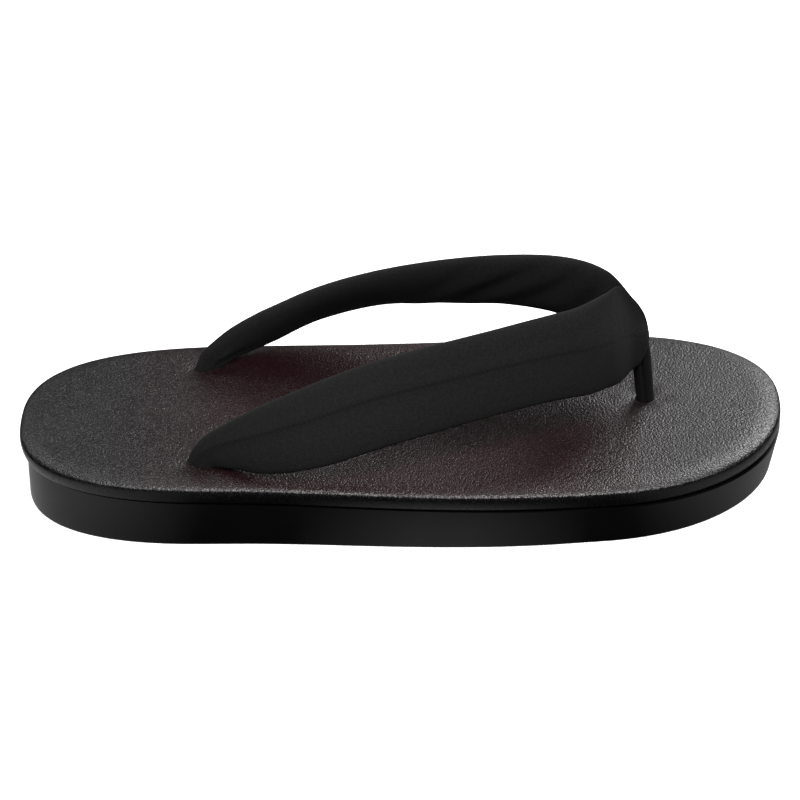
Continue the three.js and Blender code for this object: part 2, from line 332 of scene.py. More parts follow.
class SoleSettings(bpy.types.PropertyGroup):
    heel_top_inset: bpy.props.FloatProperty(
        name="Heel top inset", description="How far the sole's top stands in at the heel",
        default=1.7 * MM, unit="LENGTH")
    toe_top_inset: bpy.props.FloatProperty(
        name="Toe top inset", description="How far the sole's top stands in at the toe",
        default=-0.3 * MM, unit="LENGTH")
    heel_foot_inset: bpy.props.FloatProperty(
        name="Heel foot inset", description="How far the sole's foot stands in at the heel",
        default=1.1 * MM, unit="LENGTH")
    toe_foot_inset: bpy.props.FloatProperty(
        name="Toe foot inset", description="How far the sole's foot stands in at the toe",
        default=2.4 * MM, unit="LENGTH")
    edge_round: bpy.props.FloatProperty(
        name="Edge round", description="Size of the worn edge round the sole's foot",
        default=0.8 * MM, unit="LENGTH")
    foam_colour: bpy.props.FloatVectorProperty(
        name="Foam colour", description="Colour of the foam rubber", subtype="COLOR", size=4,
        default=(0.0008, 0.0008, 0.0010, 1))


class FootbedSettings(bpy.types.PropertyGroup):
    heel_height: bpy.props.FloatProperty(
        name="Heel height", description="Height of the footbed's top at the heel",
        default=26.4 * MM, unit="LENGTH")
    toe_height: bpy.props.FloatProperty(
        name="Toe height", description="Height of the footbed's top at the toe",
        default=22.1 * MM, unit="LENGTH")
    thickness: bpy.props.FloatProperty(
        name="Thickness", description="Thickness of the padded board", default=8 * MM, unit="LENGTH")
    dent_depth: bpy.props.FloatProperty(
        name="Dent depth", description="How far the cover is drawn down round the strap ends",
        default=0.55 * MM, unit="LENGTH")
    cover_colour: bpy.props.FloatVectorProperty(
        name="Cover colour", description="Colour of the leatherette", subtype="COLOR", size=4,
        default=(0.0105, 0.0024, 0.0034, 1))


class StrapSettings(bpy.types.PropertyGroup):
    seam_depth: bpy.props.FloatProperty(
        name="Seam depth", description="How far the middle seam is sunk", default=0.8 * MM, unit="LENGTH")
    thread_pitch: bpy.props.FloatProperty(
        name="Thread pitch", description="Distance between the threads of the cloth",
        default=0.55 * MM, unit="LENGTH")
    cloth_colour: bpy.props.FloatVectorProperty(
        name="Cloth colour", description="Colour of the cloth", subtype="COLOR", size=4,
        default=(0.0078, 0.0078, 0.0080, 1))


class StageSettings(bpy.types.PropertyGroup):
    floor_colour: bpy.props.FloatVectorProperty(
        name="Floor colour", description="Colour of the floor", subtype="COLOR", size=4,
        default=(0.9, 0.9, 0.9, 1))
    sky_strength: bpy.props.FloatProperty(
        name="Sky strength", description="Brightness of the even light all round", default=0.06)
    camera_turn: bpy.props.FloatProperty(
        name="Camera turn", description="Camera's turn round the sandal from its outer side",
        default=math.radians(0.61), subtype="ANGLE")
    camera_height: bpy.props.FloatProperty(
        name="Camera height", description="Camera's angle above the horizon",
        default=math.radians(33.02), subtype="ANGLE")
    camera_roll: bpy.props.FloatProperty(
        name="Camera roll", description="Camera's roll about its line of sight",
        default=math.radians(2.53), subtype="ANGLE")
    camera_distance: bpy.props.FloatProperty(
        name="Camera distance", description="Camera's distance from its target",
        default=1.0935, unit="LENGTH")
    camera_lens: bpy.props.FloatProperty(
        name="Camera lens", description="Focal length for a sensor 36 mm wide", default=141.1)


# Shape functions shared by the pieces


def clamp01(value):
    return min(1.0, max(0.0, value))


def ease(value):
    share = clamp01(value)
    return share * share * (3 - 2 * share)


def lerp(start, end, share):
    return start + (end - start) * share


def bell(value, spread):
    return math.exp(-((value / spread) ** 2))


def round_off(distance, end):
    """Share of the full width left at a distance from a rounded end."""
    length, power = end
    if distance >= length:
        return 1.0
    return max(0.0, 1 - ((length - distance) / length) ** power) ** (1 / power)


def outline_side(distance, side):
    """Sideways place of the outline at a distance from the heel. side is 1 inside and -1 outside."""
    share = distance / LENGTH
    shift = TOE_CENTRE_SHIFT * ease((share - TOE_SHIFT_START) / (1 - TOE_SHIFT_START))
    inside = side > 0
    ball = INNER_BALL_WIDTH - TOE_CENTRE_SHIFT if inside else OUTER_BALL_WIDTH + TOE_CENTRE_SHIFT
    bulge = INNER_SIDE_BULGE if inside else OUTER_SIDE_BULGE
    toe_round = INNER_TOE_ROUND if inside else OUTER_TOE_ROUND
    growth = (ball - HEEL_HALF_WIDTH) * ease((distance - BALL_START) / (BALL_END - BALL_START))
    full = HEEL_HALF_WIDTH + growth + bulge * math.sin(math.pi * share)
    ends = round_off(distance, HEEL_ROUND) * round_off(LENGTH - distance, toe_round)
    return shift + side * full * ends + SIDE_SHIFT


def outline_ring(steps):
    """The outline as points in metres, anticlockwise from the heel along the outer side."""
    ring = []
    for i in range(2 * steps):
        turn = math.pi * i / steps
        distance = LENGTH / 2 * (1 - math.cos(turn))
        side = outline_side(distance, -1 if i < steps else 1)
        ring.append(Vector((distance - LENGTH / 2, side, 0)) * MM)
    return ring


def inset_ring(ring, inset_at):
    """A ring drawn in by a distance that may change along the sandal."""
    drawn = []
    for i, point in enumerate(ring):
        along = ring[(i + 1) % len(ring)] - ring[i - 1]
        inward = Vector((-along.y, along.x, 0)).normalized()
        drawn.append(point + inward * inset_at(point.x))
    return drawn


def along_share(x):
    return x / (LENGTH * MM) + 0.5


def footbed_top(x):
    bed = bpy.context.scene.sandal_footbed
    return lerp(bed.heel_height, bed.toe_height, along_share(x))


def strap_line(x):
    """Sideways place of the line between the straps, in metres."""
    return (STRAP_LINE_OFFSET + SIDE_SHIFT) * MM + STRAP_LINE_SLOPE * x


def row_reader(rows):
    """Reads a table's rows as one smooth line at any share of the way along."""
    points = [Vector(row) for row in rows]
    last = len(points) - 1

    def read(share):
        place = clamp01(share) * last
        first = min(int(place), last - 1)
        t = place - first
        p1 = points[first]
        p2 = points[first + 1]
        p0 = points[first - 1] if first > 0 else 2 * p1 - p2
        p3 = points[first + 2] if first + 2 <= last else 2 * p2 - p1
        bend = 3 * t * t - 2 * t * t * t
        ease_in = t * t * t - 2 * t * t + t
        ease_out = t * t * t - t * t
        return p1 * (1 - bend) + p2 * bend + (p2 - p0) * (ease_in / 2) + (p3 - p1) * (ease_out / 2)

    return read


# Modelling helpers


def deselect_all():
    bpy.ops.object.select_all(action="DESELECT")


def pick(piece):
    deselect_all()
    piece.select_set(True)
    bpy.context.view_layer.objects.active = piece


def loft(name, rings, close_end=True):
    """A filled circle set on the first ring, then its edge extruded and set on each ring after it."""
    deselect_all()
    bpy.ops.mesh.primitive_circle_add(vertices=len(rings[0]), radius=MM, fill_type="NOTHING")
    piece = bpy.context.object
    piece.name = name
    piece.data.name = name
    for vertex, point in zip(piece.data.vertices, rings[0]):
        vertex.co = point
    bpy.ops.object.mode_set(mode="EDIT")
    bpy.ops.mesh.select_all(action="SELECT")
    bpy.ops.mesh.edge_face_add()
    bpy.ops.mesh.select_all(action="SELECT")
    bpy.ops.mesh.select_mode(type="EDGE")
    for count, ring in enumerate(rings[1:], 1):
        bpy.ops.mesh.extrude_edges_move(TRANSFORM_OT_translate={"value": (0, 0, MM)})
        shape = bmesh.from_edit_mesh(piece.data)
        shape.verts.ensure_lookup_table()
        first = count * len(ring)
        for i, point in enumerate(ring):
            shape.verts[first + i].co = point
    if close_end:
        bpy.ops.mesh.edge_face_add()
    bpy.ops.mesh.select_mode(type="VERT")
    bpy.ops.mesh.select_all(action="SELECT")
    bpy.ops.mesh.normals_make_consistent(inside=False)
    bpy.ops.object.mode_set(mode="OBJECT")
    return piece


def add_modifier(piece, kind, **values):
    modifier = piece.modifiers.new(kind.title(), kind)
    for name, value in values.items():
        setattr(modifier, name, value)
    return modifier


def apply_modifiers(piece):
    pick(piece)
    for modifier in list(piece.modifiers):
        bpy.ops.object.modifier_apply(modifier=modifier.name)


def finish_piece(piece, material, node):
    piece.data.materials.clear()
    piece.data.materials.append(material)
    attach(piece, "root")
    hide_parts(node)
    deselect_all()


# Material helpers


def feed(tree, socket, value):
    """Links another node's output into a socket, or sets the socket to a plain value."""
    if isinstance(value, bpy.types.NodeSocket):
        tree.links.new(value, socket)
    else:
        socket.default_value = value


def add_node(tree, kind, inputs=None, **values):
    made = tree.nodes.new(kind)
    for name, value in values.items():
        setattr(made, name, value)
    for name, value in (inputs or {}).items():
        feed(tree, made.inputs[name], value)
    return made


def calc(tree, operation, *terms):
    made = add_node(tree, "ShaderNodeMath", operation=operation)
    for socket, term in zip(made.inputs, terms):
        feed(tree, socket, term)
    return made.outputs[0]


def blend_colours(tree, share, first, second):
    """Mixes two colours. A mix node holds its colour sockets after those for numbers and vectors."""
    made = add_node(tree, "ShaderNodeMix", data_type="RGBA")
    feed(tree, made.inputs[0], share)
    feed(tree, made.inputs[6], first)
    feed(tree, made.inputs[7], second)
    return made.outputs[2]


def remap(tree, value, low, high, to_low, to_high):
    made = add_node(tree, "ShaderNodeMapRange", {
        "Value": value, "From Min": low, "From Max": high, "To Min": to_low, "To Max": to_high})
    return made.outputs[0]


def new_group(name, inputs, outputs):
    group = bpy.data.node_groups.new(name, "ShaderNodeTree")
    for title, kind, default in inputs:
        socket = group.interface.new_socket(title, in_out="INPUT", socket_type=kind)
        if default is not None:
            socket.default_value = default
    for title, kind in outputs:
        group.interface.new_socket(title, in_out="OUTPUT", socket_type=kind)
    start = group.nodes.new("NodeGroupInput")
    end = group.nodes.new("NodeGroupOutput")
    return group, start.outputs, end.inputs


def place_group(tree, group, inputs):
    made = tree.nodes.new("ShaderNodeGroup")
    made.node_tree = group
    for name, value in inputs.items():
        feed(tree, made.inputs[name], value)
    return made.outputs


def pebble_grain():
    """Fine pebbled grain of leatherette. Puts out its height, a mask of its rubbed tops and a slow drift."""
    name = "Pebble grain"
    if name in bpy.data.node_groups:
        return bpy.data.node_groups[name]
    group, source, result = new_group(
        name,
        [("Vector", "NodeSocketVector", None), ("Cells per metre", "NodeSocketFloat", 1300.0)],
        [("Height", "NodeSocketFloat"), ("Tops", "NodeSocketFloat"), ("Drift", "NodeSocketFloat")])
    cells = add_node(group, "ShaderNodeTexVoronoi", {
        "Vector": source["Vector"], "Scale": source["Cells per metre"], "Randomness": 0.9},
        feature="SMOOTH_F1")
    fine_scale = calc(group, "MULTIPLY", source["Cells per metre"], 1.2)
    fine = add_node(group, "ShaderNodeTexNoise", {
        "Vector": source["Vector"], "Scale": fine_scale, "Detail": 1.0, "Roughness": 0.6})
    drift_scale = calc(group, "MULTIPLY", source["Cells per metre"], 0.035)
    drift = add_node(group, "ShaderNodeTexNoise", {
        "Vector": source["Vector"], "Scale": drift_scale, "Detail": 3.0, "Roughness": 0.55})
    pebble = calc(group, "SUBTRACT", 1.0, cells.outputs["Distance"])
    height = calc(group, "MULTIPLY_ADD", fine.outputs["Fac"], 1.5, pebble)
    group.links.new(height, result["Height"])
    tops = remap(group, fine.outputs["Fac"], 0.50, 0.72, 0.0, 1.0)
    group.links.new(tops, result["Tops"])
    group.links.new(drift.outputs["Fac"], result["Drift"])
    return group


def plain_weave():
    """Plain weave read along a piece's own cloth map. Puts out the threads' height, their fuzz and slubs."""
    name = "Plain weave"
    if name in bpy.data.node_groups:
        return bpy.data.node_groups[name]
    group, source, result = new_group(
        name,
        [("Vector", "NodeSocketVector", None), ("Threads per metre", "NodeSocketFloat", 1800.0)],
        [("Height", "NodeSocketFloat"), ("Fuzz", "NodeSocketFloat"), ("Slub", "NodeSocketFloat")])
    scaled = add_node(group, "ShaderNodeVectorMath", operation="SCALE")
    group.links.new(source["Vector"], scaled.inputs[0])
    group.links.new(source["Threads per metre"], scaled.inputs["Scale"])
    parts = add_node(group, "ShaderNodeSeparateXYZ", {"Vector": scaled.outputs[0]})
    warp = calc(group, "ABSOLUTE", calc(group, "SINE", calc(group, "MULTIPLY", parts.outputs["X"], math.pi)))
    weft = calc(group, "ABSOLUTE", calc(group, "SINE", calc(group, "MULTIPLY", parts.outputs["Y"], math.pi)))
    column = calc(group, "FLOOR", parts.outputs["X"])
    row = calc(group, "FLOOR", parts.outputs["Y"])
    over = calc(group, "PINGPONG", calc(group, "ADD", column, row), 1.0)
    warp_up = calc(group, "MULTIPLY", warp, calc(group, "MULTIPLY_ADD", over, 0.6, 0.4))
    under = calc(group, "SUBTRACT", 1.0, over)
    weft_up = calc(group, "MULTIPLY", weft, calc(group, "MULTIPLY_ADD", under, 0.6, 0.4))
    threads = calc(group, "MAXIMUM", warp_up, weft_up)
    fuzz = add_node(group, "ShaderNodeTexNoise", {
        "Vector": scaled.outputs[0], "Scale": 0.85, "Detail": 3.0, "Roughness": 0.7})
    slub = add_node(group, "ShaderNodeTexNoise", {
        "Vector": source["Vector"], "Scale": 700.0, "Detail": 4.0, "Roughness": 0.65})
    height = calc(group, "MULTIPLY_ADD", fuzz.outputs["Fac"], 0.5, threads)
    group.links.new(height, result["Height"])
    group.links.new(fuzz.outputs["Fac"], result["Fuzz"])
    group.links.new(slub.outputs["Fac"], result["Slub"])
    return group


def scuffing():
    """Sparse scuffs and dust. Puts out a mask that is 0 on clean material."""
    name = "Scuffing"
    if name in bpy.data.node_groups:
        return bpy.data.node_groups[name]
    group, source, result = new_group(
        name,
        [("Vector", "NodeSocketVector", None), ("Scale", "NodeSocketFloat", 60.0),
         ("Sparseness", "NodeSocketFloat", 0.62)],
        [("Mask", "NodeSocketFloat")])
    broad = add_node(group, "ShaderNodeTexNoise", {
        "Vector": source["Vector"], "Scale": source["Scale"], "Detail": 5.0, "Roughness": 0.7})
    speck_scale = calc(group, "MULTIPLY", source["Scale"], 22.0)
    specks = add_node(group, "ShaderNodeTexNoise", {
        "Vector": source["Vector"], "Scale": speck_scale, "Detail": 1.0})
    patches = calc(group, "SUBTRACT", broad.outputs["Fac"], source["Sparseness"])
    patches = calc(group, "MAXIMUM", calc(group, "MULTIPLY", patches, 8.0), 0.0)
    dots = remap(group, specks.outputs["Fac"], 0.52, 0.7, 0.0, 1.0)
    mask = calc(group, "MINIMUM", calc(group, "MULTIPLY", patches, dots), 1.0)
    group.links.new(mask, result["Mask"])
    return group


def start_material(name, **fixed):
    """A material with its Principled shader's plain sockets set. Returns it, its tree and the shader."""
    material = bpy.data.materials.new(name)
    material.use_nodes = True
    tree = material.node_tree
    shader = tree.nodes["Principled BSDF"]
    for socket, value in fixed.items():
        shader.inputs[socket.replace("_", " ")].default_value = value
    return material, tree, shader


def add_bump(tree, shader, height, depth, strength):
    """Raises a material by a height. depth is in millimetres."""
    bump = add_node(tree, "ShaderNodeBump", {
        "Height": height, "Distance": depth * MM, "Strength": strength})
    tree.links.new(bump.outputs["Normal"], shader.inputs["Normal"])


def foam_material():
    """Satin closed-cell foam with fine pores, wavy ribs pressed into its underside, and dust at its foot."""
    settings = bpy.context.scene.sandal_sole
    material, tree, shader = start_material("Foam rubber")
    place = add_node(tree, "ShaderNodeTexCoord").outputs["Object"]
    parts = add_node(tree, "ShaderNodeSeparateXYZ", {"Vector": place})
    pores = add_node(tree, "ShaderNodeTexNoise", {
        "Vector": place, "Scale": PORES_PER_METRE, "Detail": 2.0, "Roughness": 0.6})
    broad = add_node(tree, "ShaderNodeTexNoise", {
        "Vector": place, "Scale": 45.0, "Detail": 3.0, "Roughness": 0.5})
    scuffs = place_group(tree, scuffing(), {"Vector": place, "Scale": 70.0, "Sparseness": 0.6})
    low = remap(tree, parts.outputs["Z"], 0.0, DUST_HEIGHT * MM, 1.0, 0.0)
    dust = calc(tree, "MULTIPLY", scuffs["Mask"], calc(tree, "MULTIPLY_ADD", low, 0.5, 0.04))
    colour = blend_colours(tree, dust, settings.foam_colour, FOAM_DUST)
    tree.links.new(colour, shader.inputs["Base Color"])
    rough = remap(tree, broad.outputs["Fac"], *NOISE_SPAN, *FOAM_ROUGHNESS)
    rough = calc(tree, "MULTIPLY_ADD", dust, DUST_ROUGHNESS, rough)
    tree.links.new(rough, shader.inputs["Roughness"])
    facing = add_node(tree, "ShaderNodeNewGeometry").outputs["Normal"]
    down = add_node(tree, "ShaderNodeSeparateXYZ", {"Vector": facing}).outputs["Z"]
    underside = remap(tree, down, *UNDERSIDE_NORMAL, 0.0, 1.0)
    sway = calc(tree, "SINE", calc(tree, "MULTIPLY", parts.outputs["Y"], RIB_SWAY_PER_METRE))
    ribs_along = calc(tree, "MULTIPLY", parts.outputs["X"], RIB_RADIANS_PER_METRE)
    ribs_along = calc(tree, "MULTIPLY_ADD", sway, 0.6, ribs_along)
    ribs = calc(tree, "MULTIPLY", calc(tree, "SINE", ribs_along), underside)
    height = calc(tree, "MULTIPLY_ADD", ribs, 6.0, pores.outputs["Fac"])
    add_bump(tree, shader, height, PORE_DEPTH, 0.6)
    return material


def leatherette_material():
    """Black leatherette: pebbled, with a low gloss, rubbed tops and a few scuffs. It has a brown-red cast
    that fades out at the heel and the toe, where the rubbed tops are also lighter as painted sheen. Its steep
    side is painted dark as shade."""
    settings = bpy.context.scene.sandal_footbed
    material, tree, shader = start_material("Leatherette")
    place = add_node(tree, "ShaderNodeTexCoord").outputs["Object"]
    grain = place_group(tree, pebble_grain(), {"Vector": place, "Cells per metre": GRAIN_CELLS_PER_METRE})
    scuffs = place_group(tree, scuffing(), {"Vector": place, "Scale": 38.0, "Sparseness": 0.65})
    tops = calc(tree, "MULTIPLY", grain["Tops"], RUBBED_SHARE)
    along = add_node(tree, "ShaderNodeSeparateXYZ", {"Vector": place}).outputs["X"]
    from_middle = calc(tree, "ABSOLUTE", along)
    # Share towards the heel and the toe, where the brown-red cast gives way to a neutral tone and the rubbed
    # tops take a painted sheen
    towards_ends = remap(tree, from_middle, ENDS_START * MM, ENDS_FULL * MM, 0.0, 1.0)
    tone = blend_colours(tree, towards_ends, settings.cover_colour, COVER_END_TONE)
    facing = add_node(tree, "ShaderNodeNewGeometry").outputs["Normal"]
    upward = add_node(tree, "ShaderNodeSeparateXYZ", {"Vector": facing}).outputs["Z"]
    # Mask of the footbed's steep side, which is painted dark as shade and has flatter grain
    edge = remap(tree, upward, *COVER_SIDE_SHADE_NORMAL, 0.0, 1.0)
    # Rubbed tops, lighter at the heel and the toe as painted sheen
    rubbing_and_sheen = blend_colours(tree, towards_ends, COVER_RUBBED, COVER_END_RUBBED_SHEEN)
    rubbed = blend_colours(tree, tops, tone, rubbing_and_sheen)
    marks = calc(tree, "MULTIPLY", scuffs["Mask"], SCUFFED_SHARE)
    marked = blend_colours(tree, marks, rubbed, COVER_SCUFFED)
    # Painted shade on the footbed's steep side
    colour = blend_colours(tree, edge, marked, COVER_SIDE_SHADE)
    tree.links.new(colour, shader.inputs["Base Color"])
    rough = remap(tree, grain["Drift"], *NOISE_SPAN, *COVER_ROUGHNESS)
    rough = calc(tree, "MULTIPLY_ADD", grain["Tops"], RUBBED_ROUGHNESS, rough)
    tree.links.new(rough, shader.inputs["Roughness"])
    height = calc(tree, "SUBTRACT", grain["Height"], GRAIN_MIDDLE)
    flattened = calc(tree, "MULTIPLY_ADD", edge, -EDGE_GRAIN_LOSS, 1.0)
    height = calc(tree, "MULTIPLY", height, flattened)
    add_bump(tree, shader, height, GRAIN_DEPTH, 1.0)
    return material


def cloth_material(name, seam):
    """Closely woven matt cloth, read along the piece's own cloth map. With a seam it has a line of painted
    shade along the seam and a row of small stitches, beside the map's zero line. Without one it is the loop's
    cloth, painted darker as shade."""
    settings = bpy.context.scene.sandal_straps
    material, tree, shader = start_material(
        name, Specular_IOR_Level=0.1, Sheen_Weight=0.02, Sheen_Roughness=0.6)
    cloth = add_node(tree, "ShaderNodeUVMap", uv_map="Cloth").outputs["UV"]
    weave = place_group(tree, plain_weave(), {
        "Vector": cloth, "Threads per metre": 1 / settings.thread_pitch})
    shade = remap(tree, weave["Slub"], *NOISE_SPAN, *SLUB_SHADE)
    shade = calc(tree, "MULTIPLY", shade, remap(tree, weave["Fuzz"], *NOISE_SPAN, *FUZZ_SHADE))
    if seam:
        parts = add_node(tree, "ShaderNodeSeparateXYZ", {"Vector": cloth})
        line_full, line_end = SEAM_LINE_REACH
        beside = calc(tree, "ABSOLUTE", calc(tree, "ADD", parts.outputs["Y"], SEAM_LINE_PLACE * MM))
        near = remap(tree, beside, line_full * MM, line_end * MM, 1.0, 0.0)
        # Painted shade along the seam, uneven with the slubs
        worn = calc(tree, "MULTIPLY", near, remap(tree, weave["Slub"], 0.35, 0.6, *SEAM_PAINTED_SHADE))
        shade = calc(tree, "MULTIPLY", shade, calc(tree, "ADD", worn, 1.0))
    else:
        # Painted shade: the loop's cloth is darkened
        shade = calc(tree, "MULTIPLY", shade, LOOP_PAINTED_SHADE)
    lit = add_node(tree, "ShaderNodeVectorMath", operation="SCALE")
    lit.inputs[0].default_value = settings.cloth_colour[:3]
    tree.links.new(shade, lit.inputs["Scale"])
    tree.links.new(lit.outputs[0], shader.inputs["Base Color"])
    rough = remap(tree, weave["Height"], 0.2, 1.4, *CLOTH_ROUGHNESS)
    tree.links.new(rough, shader.inputs["Roughness"])
    height = weave["Height"]
    if seam:
        stitch_rate = 2 * math.pi / (STITCH_PITCH * MM)
        stitch = calc(tree, "SINE", calc(tree, "MULTIPLY", parts.outputs["X"], stitch_rate))
        pinch = calc(tree, "MULTIPLY", calc(tree, "MAXIMUM", stitch, 0.0), near)
        height = calc(tree, "MULTIPLY_ADD", pinch, -4.0, height)
    add_bump(tree, shader, height, WEAVE_DEPTH, 0.7)
    return material


# Pieces


class SANDAL_OT_foam_sole(bpy.types.Operator):
    """Models the foam rubber sole under the footbed"""

    bl_idname = "sandal.foam_sole"
    bl_label = "Foam sole"

    def execute(self, context):
        sole = context.scene.sandal_sole
        bed = context.scene.sandal_footbed
        outline = outline_ring(SOLE_OUTLINE_STEPS)
        edge = sole.edge_round
        rings = []

        def foot_inset(x):
            return lerp(sole.heel_foot_inset, sole.toe_foot_inset, along_share(x))

        def top_inset(x):
            return lerp(sole.heel_top_inset, sole.toe_top_inset, along_share(x))

        def wall_top(x):
            return footbed_top(x) - bed.thickness - SOLE_GAP * MM

        def add(inset_at, height_at):
            ring = inset_ring(outline, inset_at)
            rings.append([Vector((p.x, p.y, height_at(p.x))) for p in ring])

        add(lambda x: foot_inset(x) + SOLE_UNDERSIDE_RIM * MM, lambda x: 0.0)
        for step in range(SOLE_BEVEL_STEPS + 1):
            turn = math.pi / 2 * step / SOLE_BEVEL_STEPS
            add(lambda x: foot_inset(x) + edge * (1 - math.sin(turn)),
                lambda x: edge * (1 - math.cos(turn)))
        for share in SOLE_WALL_SHARES:
            add(lambda x: lerp(foot_inset(x), top_inset(x), share),
                lambda x: lerp(edge, wall_top(x), share))
        add(top_inset, wall_top)
        add(lambda x: top_inset(x) + SOLE_TOP_RIM * MM, wall_top)
        piece = loft("foam_sole", rings)
        pick(piece)
        bpy.ops.object.shade_smooth_by_angle(angle=math.radians(SOLE_SHARP_ANGLE))
        finish_piece(piece, foam_material(), "outsole")
        return {"FINISHED"}


def dent_places():
    """Centre of each hole in the footbed, seen from above, in metres, with its dent's spread and share."""
    x = STRAP_DENT["along"] * MM
    places = []
    for side in (1, -1):
        y = strap_line(x) + side * STRAP_DENT["out"] * MM
        places.append((Vector((x, y, 0)), STRAP_DENT["spread"] * MM, STRAP_DENT["share"]))
    loop_place = Vector((LOOP_DENT["along"], LOOP_SIDE + SIDE_SHIFT, 0)) * MM
    places.append((loop_place, LOOP_DENT["spread"] * MM, LOOP_DENT["share"]))
    return places


class SANDAL_OT_padded_footbed(bpy.types.Operator):
    """Models the padded footbed with its rolled edge, its holes and the dents round them"""

    bl_idname = "sandal.padded_footbed"
    bl_label = "Padded footbed"

    def execute(self, context):
        bed = context.scene.sandal_footbed
        outline = outline_ring(FOOTBED_OUTLINE_STEPS)
        rings = []
        for inset, depth in FOOTBED_EDGE:
            ring = inset_ring(outline, lambda x: inset * MM)
            rings.append([Vector((p.x, p.y, footbed_top(p.x) - depth * MM)) for p in ring])
        rim = rings[-1]
        for share in TOP_SHARES:
            rings.append([self.towards_middle(p, share) for p in rim])
        piece = loft("padded_footbed", rings, close_end=False)
        pick(piece)
        bpy.ops.object.mode_set(mode="EDIT")
        bpy.ops.mesh.select_all(action="SELECT")
        bpy.ops.mesh.remove_doubles(threshold=WELD_DISTANCE * MM)
        bpy.ops.object.mode_set(mode="OBJECT")
        add_modifier(piece, "SUBSURF", levels=2, render_levels=2)
        apply_modifiers(piece)
        self.refine_round_holes(piece)
        self.settle(piece, bed.dent_depth)
        self.cut_holes(piece)
        pick(piece)
        bpy.ops.object.shade_smooth_by_angle(angle=math.radians(FOOTBED_SHARP_ANGLE))
        finish_piece(piece, leatherette_material(), "footbed")
        return {"FINISHED"}

    def towards_middle(self, point, share):
        """A rim point drawn towards the line along the footbed's middle, on the footbed's top."""
        x = point.x * SPINE_SHARE
        distance = x / MM + LENGTH / 2
        middle = (outline_side(distance, 1) + outline_side(distance, -1)) / 2 * MM
        drawn = point.lerp(Vector((x, middle, 0)), share)
        return Vector((drawn.x, drawn.y, footbed_top(drawn.x)))

    def refine_round_holes(self, piece):
        """Divides the top's faces near the holes, so that the dents come out smooth."""
        pick(piece)
        bpy.ops.object.mode_set(mode="EDIT")
        shape = bmesh.from_edit_mesh(piece.data)
        dents = dent_places()
        bpy.ops.mesh.select_mode(type="FACE")
        bpy.ops.mesh.select_all(action="DESELECT")
        for face in shape.faces:
            middle = face.calc_center_median()
            flat = Vector((middle.x, middle.y, 0))
            if face.normal.z > REFINED_LEVEL:
                face.select = any((flat - hole).length < REFINED_REACH * spread for hole, spread, _ in dents)
        bmesh.update_edit_mesh(piece.data)
        bpy.ops.mesh.subdivide(number_cuts=2, smoothness=0)
        bpy.ops.mesh.select_mode(type="VERT")
        bpy.ops.object.mode_set(mode="OBJECT")

    def settle(self, piece, dent_depth):
        """Dents round the holes, puckers that run out from them, and a slight unevenness."""
        dents = dent_places()
        for vertex in piece.data.vertices:
            place = vertex.co
            below = footbed_top(place.x) - place.z
            padded = 1 - ease(below / (PADDED_DEPTH * MM))
            rise = sum(depth * MM * noise.noise(place * rate) for depth, rate in UNEVENNESS)
            flat = Vector((place.x, place.y, 0))
            for hole, spread, share in dents:
                away = flat - hole
                reach = away.length
                wave = math.cos(PUCKER["count"] * math.atan2(away.y, away.x) + PUCKER["phase"])
                ring = bell(reach - PUCKER["reach"] * spread, PUCKER["width"] * spread)
                rise -= dent_depth * share * (bell(reach, spread) + PUCKER["depth"] * wave * ring)
            vertex.co.z += rise * padded

    def cut_holes(self, piece):
        """Cuts a hole round each strap end and round the toe loop's foot, each with a little room."""
        cutters = []
        for side in (1, -1):
            cutters.append(loft("hole_cutter", strap_rings(side, STRAP_HOLE_STEPS, HOLE_ROOM * MM)))
        x = LOOP_DENT["along"] * MM
        deselect_all()
        bpy.ops.mesh.primitive_cylinder_add(
            vertices=LOOP_HOLE_CORNERS, radius=1, depth=1,
            location=(x, (LOOP_SIDE + SIDE_SHIFT) * MM, footbed_top(x)))
        bpy.ops.object.mode_set(mode="EDIT")
        bpy.ops.mesh.select_all(action="SELECT")
        bpy.ops.transform.resize(
            value=(LOOP_HOLE_HALF_LENGTH * MM, LOOP_HOLE_HALF_WIDTH * MM, CUTTER_HEIGHT * MM))
        bpy.ops.object.mode_set(mode="OBJECT")
        cutters.append(bpy.context.object)
        for cutter in cutters:
            pick(piece)
            cut = add_modifier(piece, "BOOLEAN", operation="DIFFERENCE", solver="EXACT")
            cut.object = cutter
            bpy.ops.object.modifier_apply(modifier=cut.name)
            bpy.data.objects.remove(cutter)


def rounded(value):
    """A cosine or sine turned into a place on the strap's full, rounded section."""
    return math.copysign(abs(value) ** (2 / STRAP_SECTION_POWER), value)


